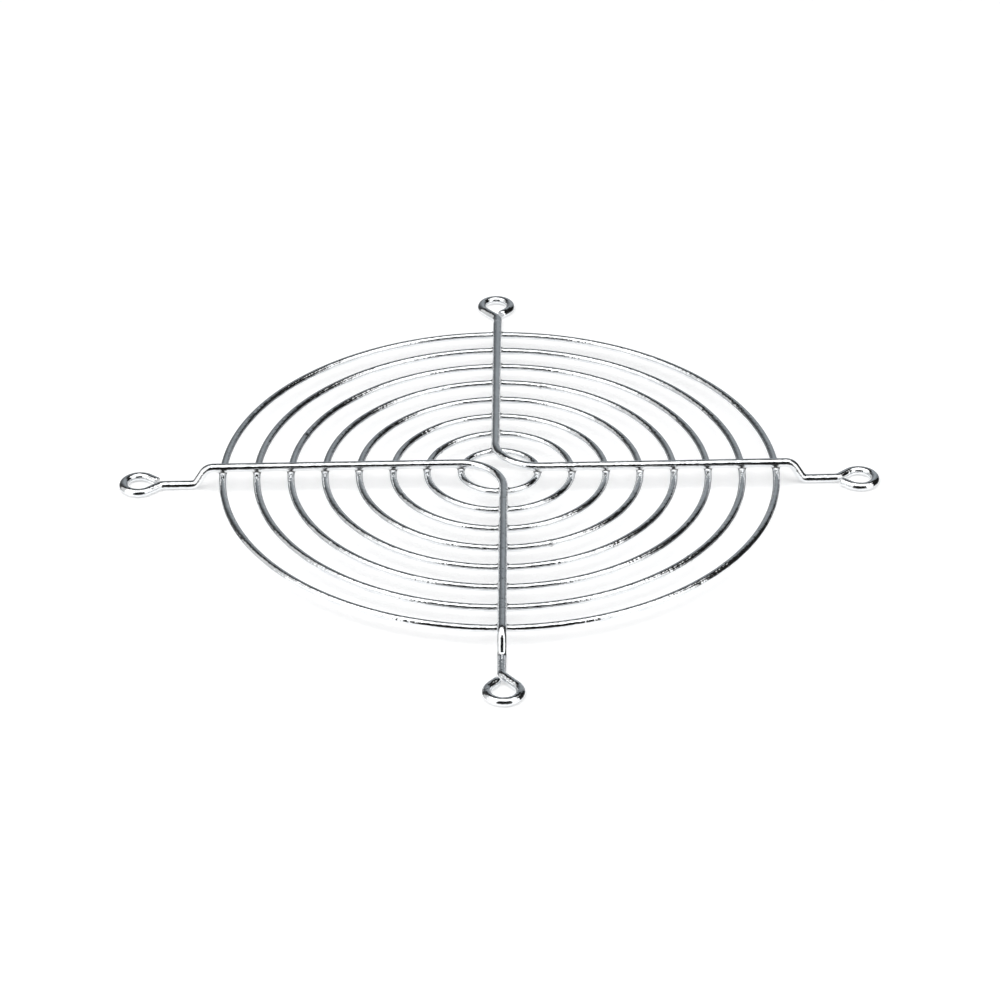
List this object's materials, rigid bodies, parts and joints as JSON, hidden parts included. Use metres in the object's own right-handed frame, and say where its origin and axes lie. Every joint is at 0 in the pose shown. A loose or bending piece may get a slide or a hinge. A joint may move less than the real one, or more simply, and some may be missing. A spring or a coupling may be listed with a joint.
{
  "type": "wire fan guard",
  "caption": "Round wire finger guard for an axial fan: concentric rings welded under bent ribs that step down to screw eyes at the fan's corners.",
  "frame": {"origin": "centre of the rings, on the plane of the fan's mounting face that the four screw eyes lie on", "axes": "+Z away from the fan, towards the ribs; the four arms and their screw eyes lie along +X, -X, +Y and -Y"},
  "size_m": [0.1566, 0.1566, 0.0058],
  "materials": {
    "ring_wire": "bright plated steel wire, drawn smooth",
    "rib_wire": "bright plated steel wire, drawn smooth and bent"
  },
  "bodies": {
    "root": {"ring_1": "ring_wire", "ring_2": "ring_wire", "ring_3": "ring_wire", "ring_4": "ring_wire", "ring_5": "ring_wire", "ring_6": "ring_wire", "ring_7": "ring_wire", "ring_8": "ring_wire", "rib_front_left": "rib_wire", "rib_back_right": "rib_wire"}
  },
  "joints": []
}
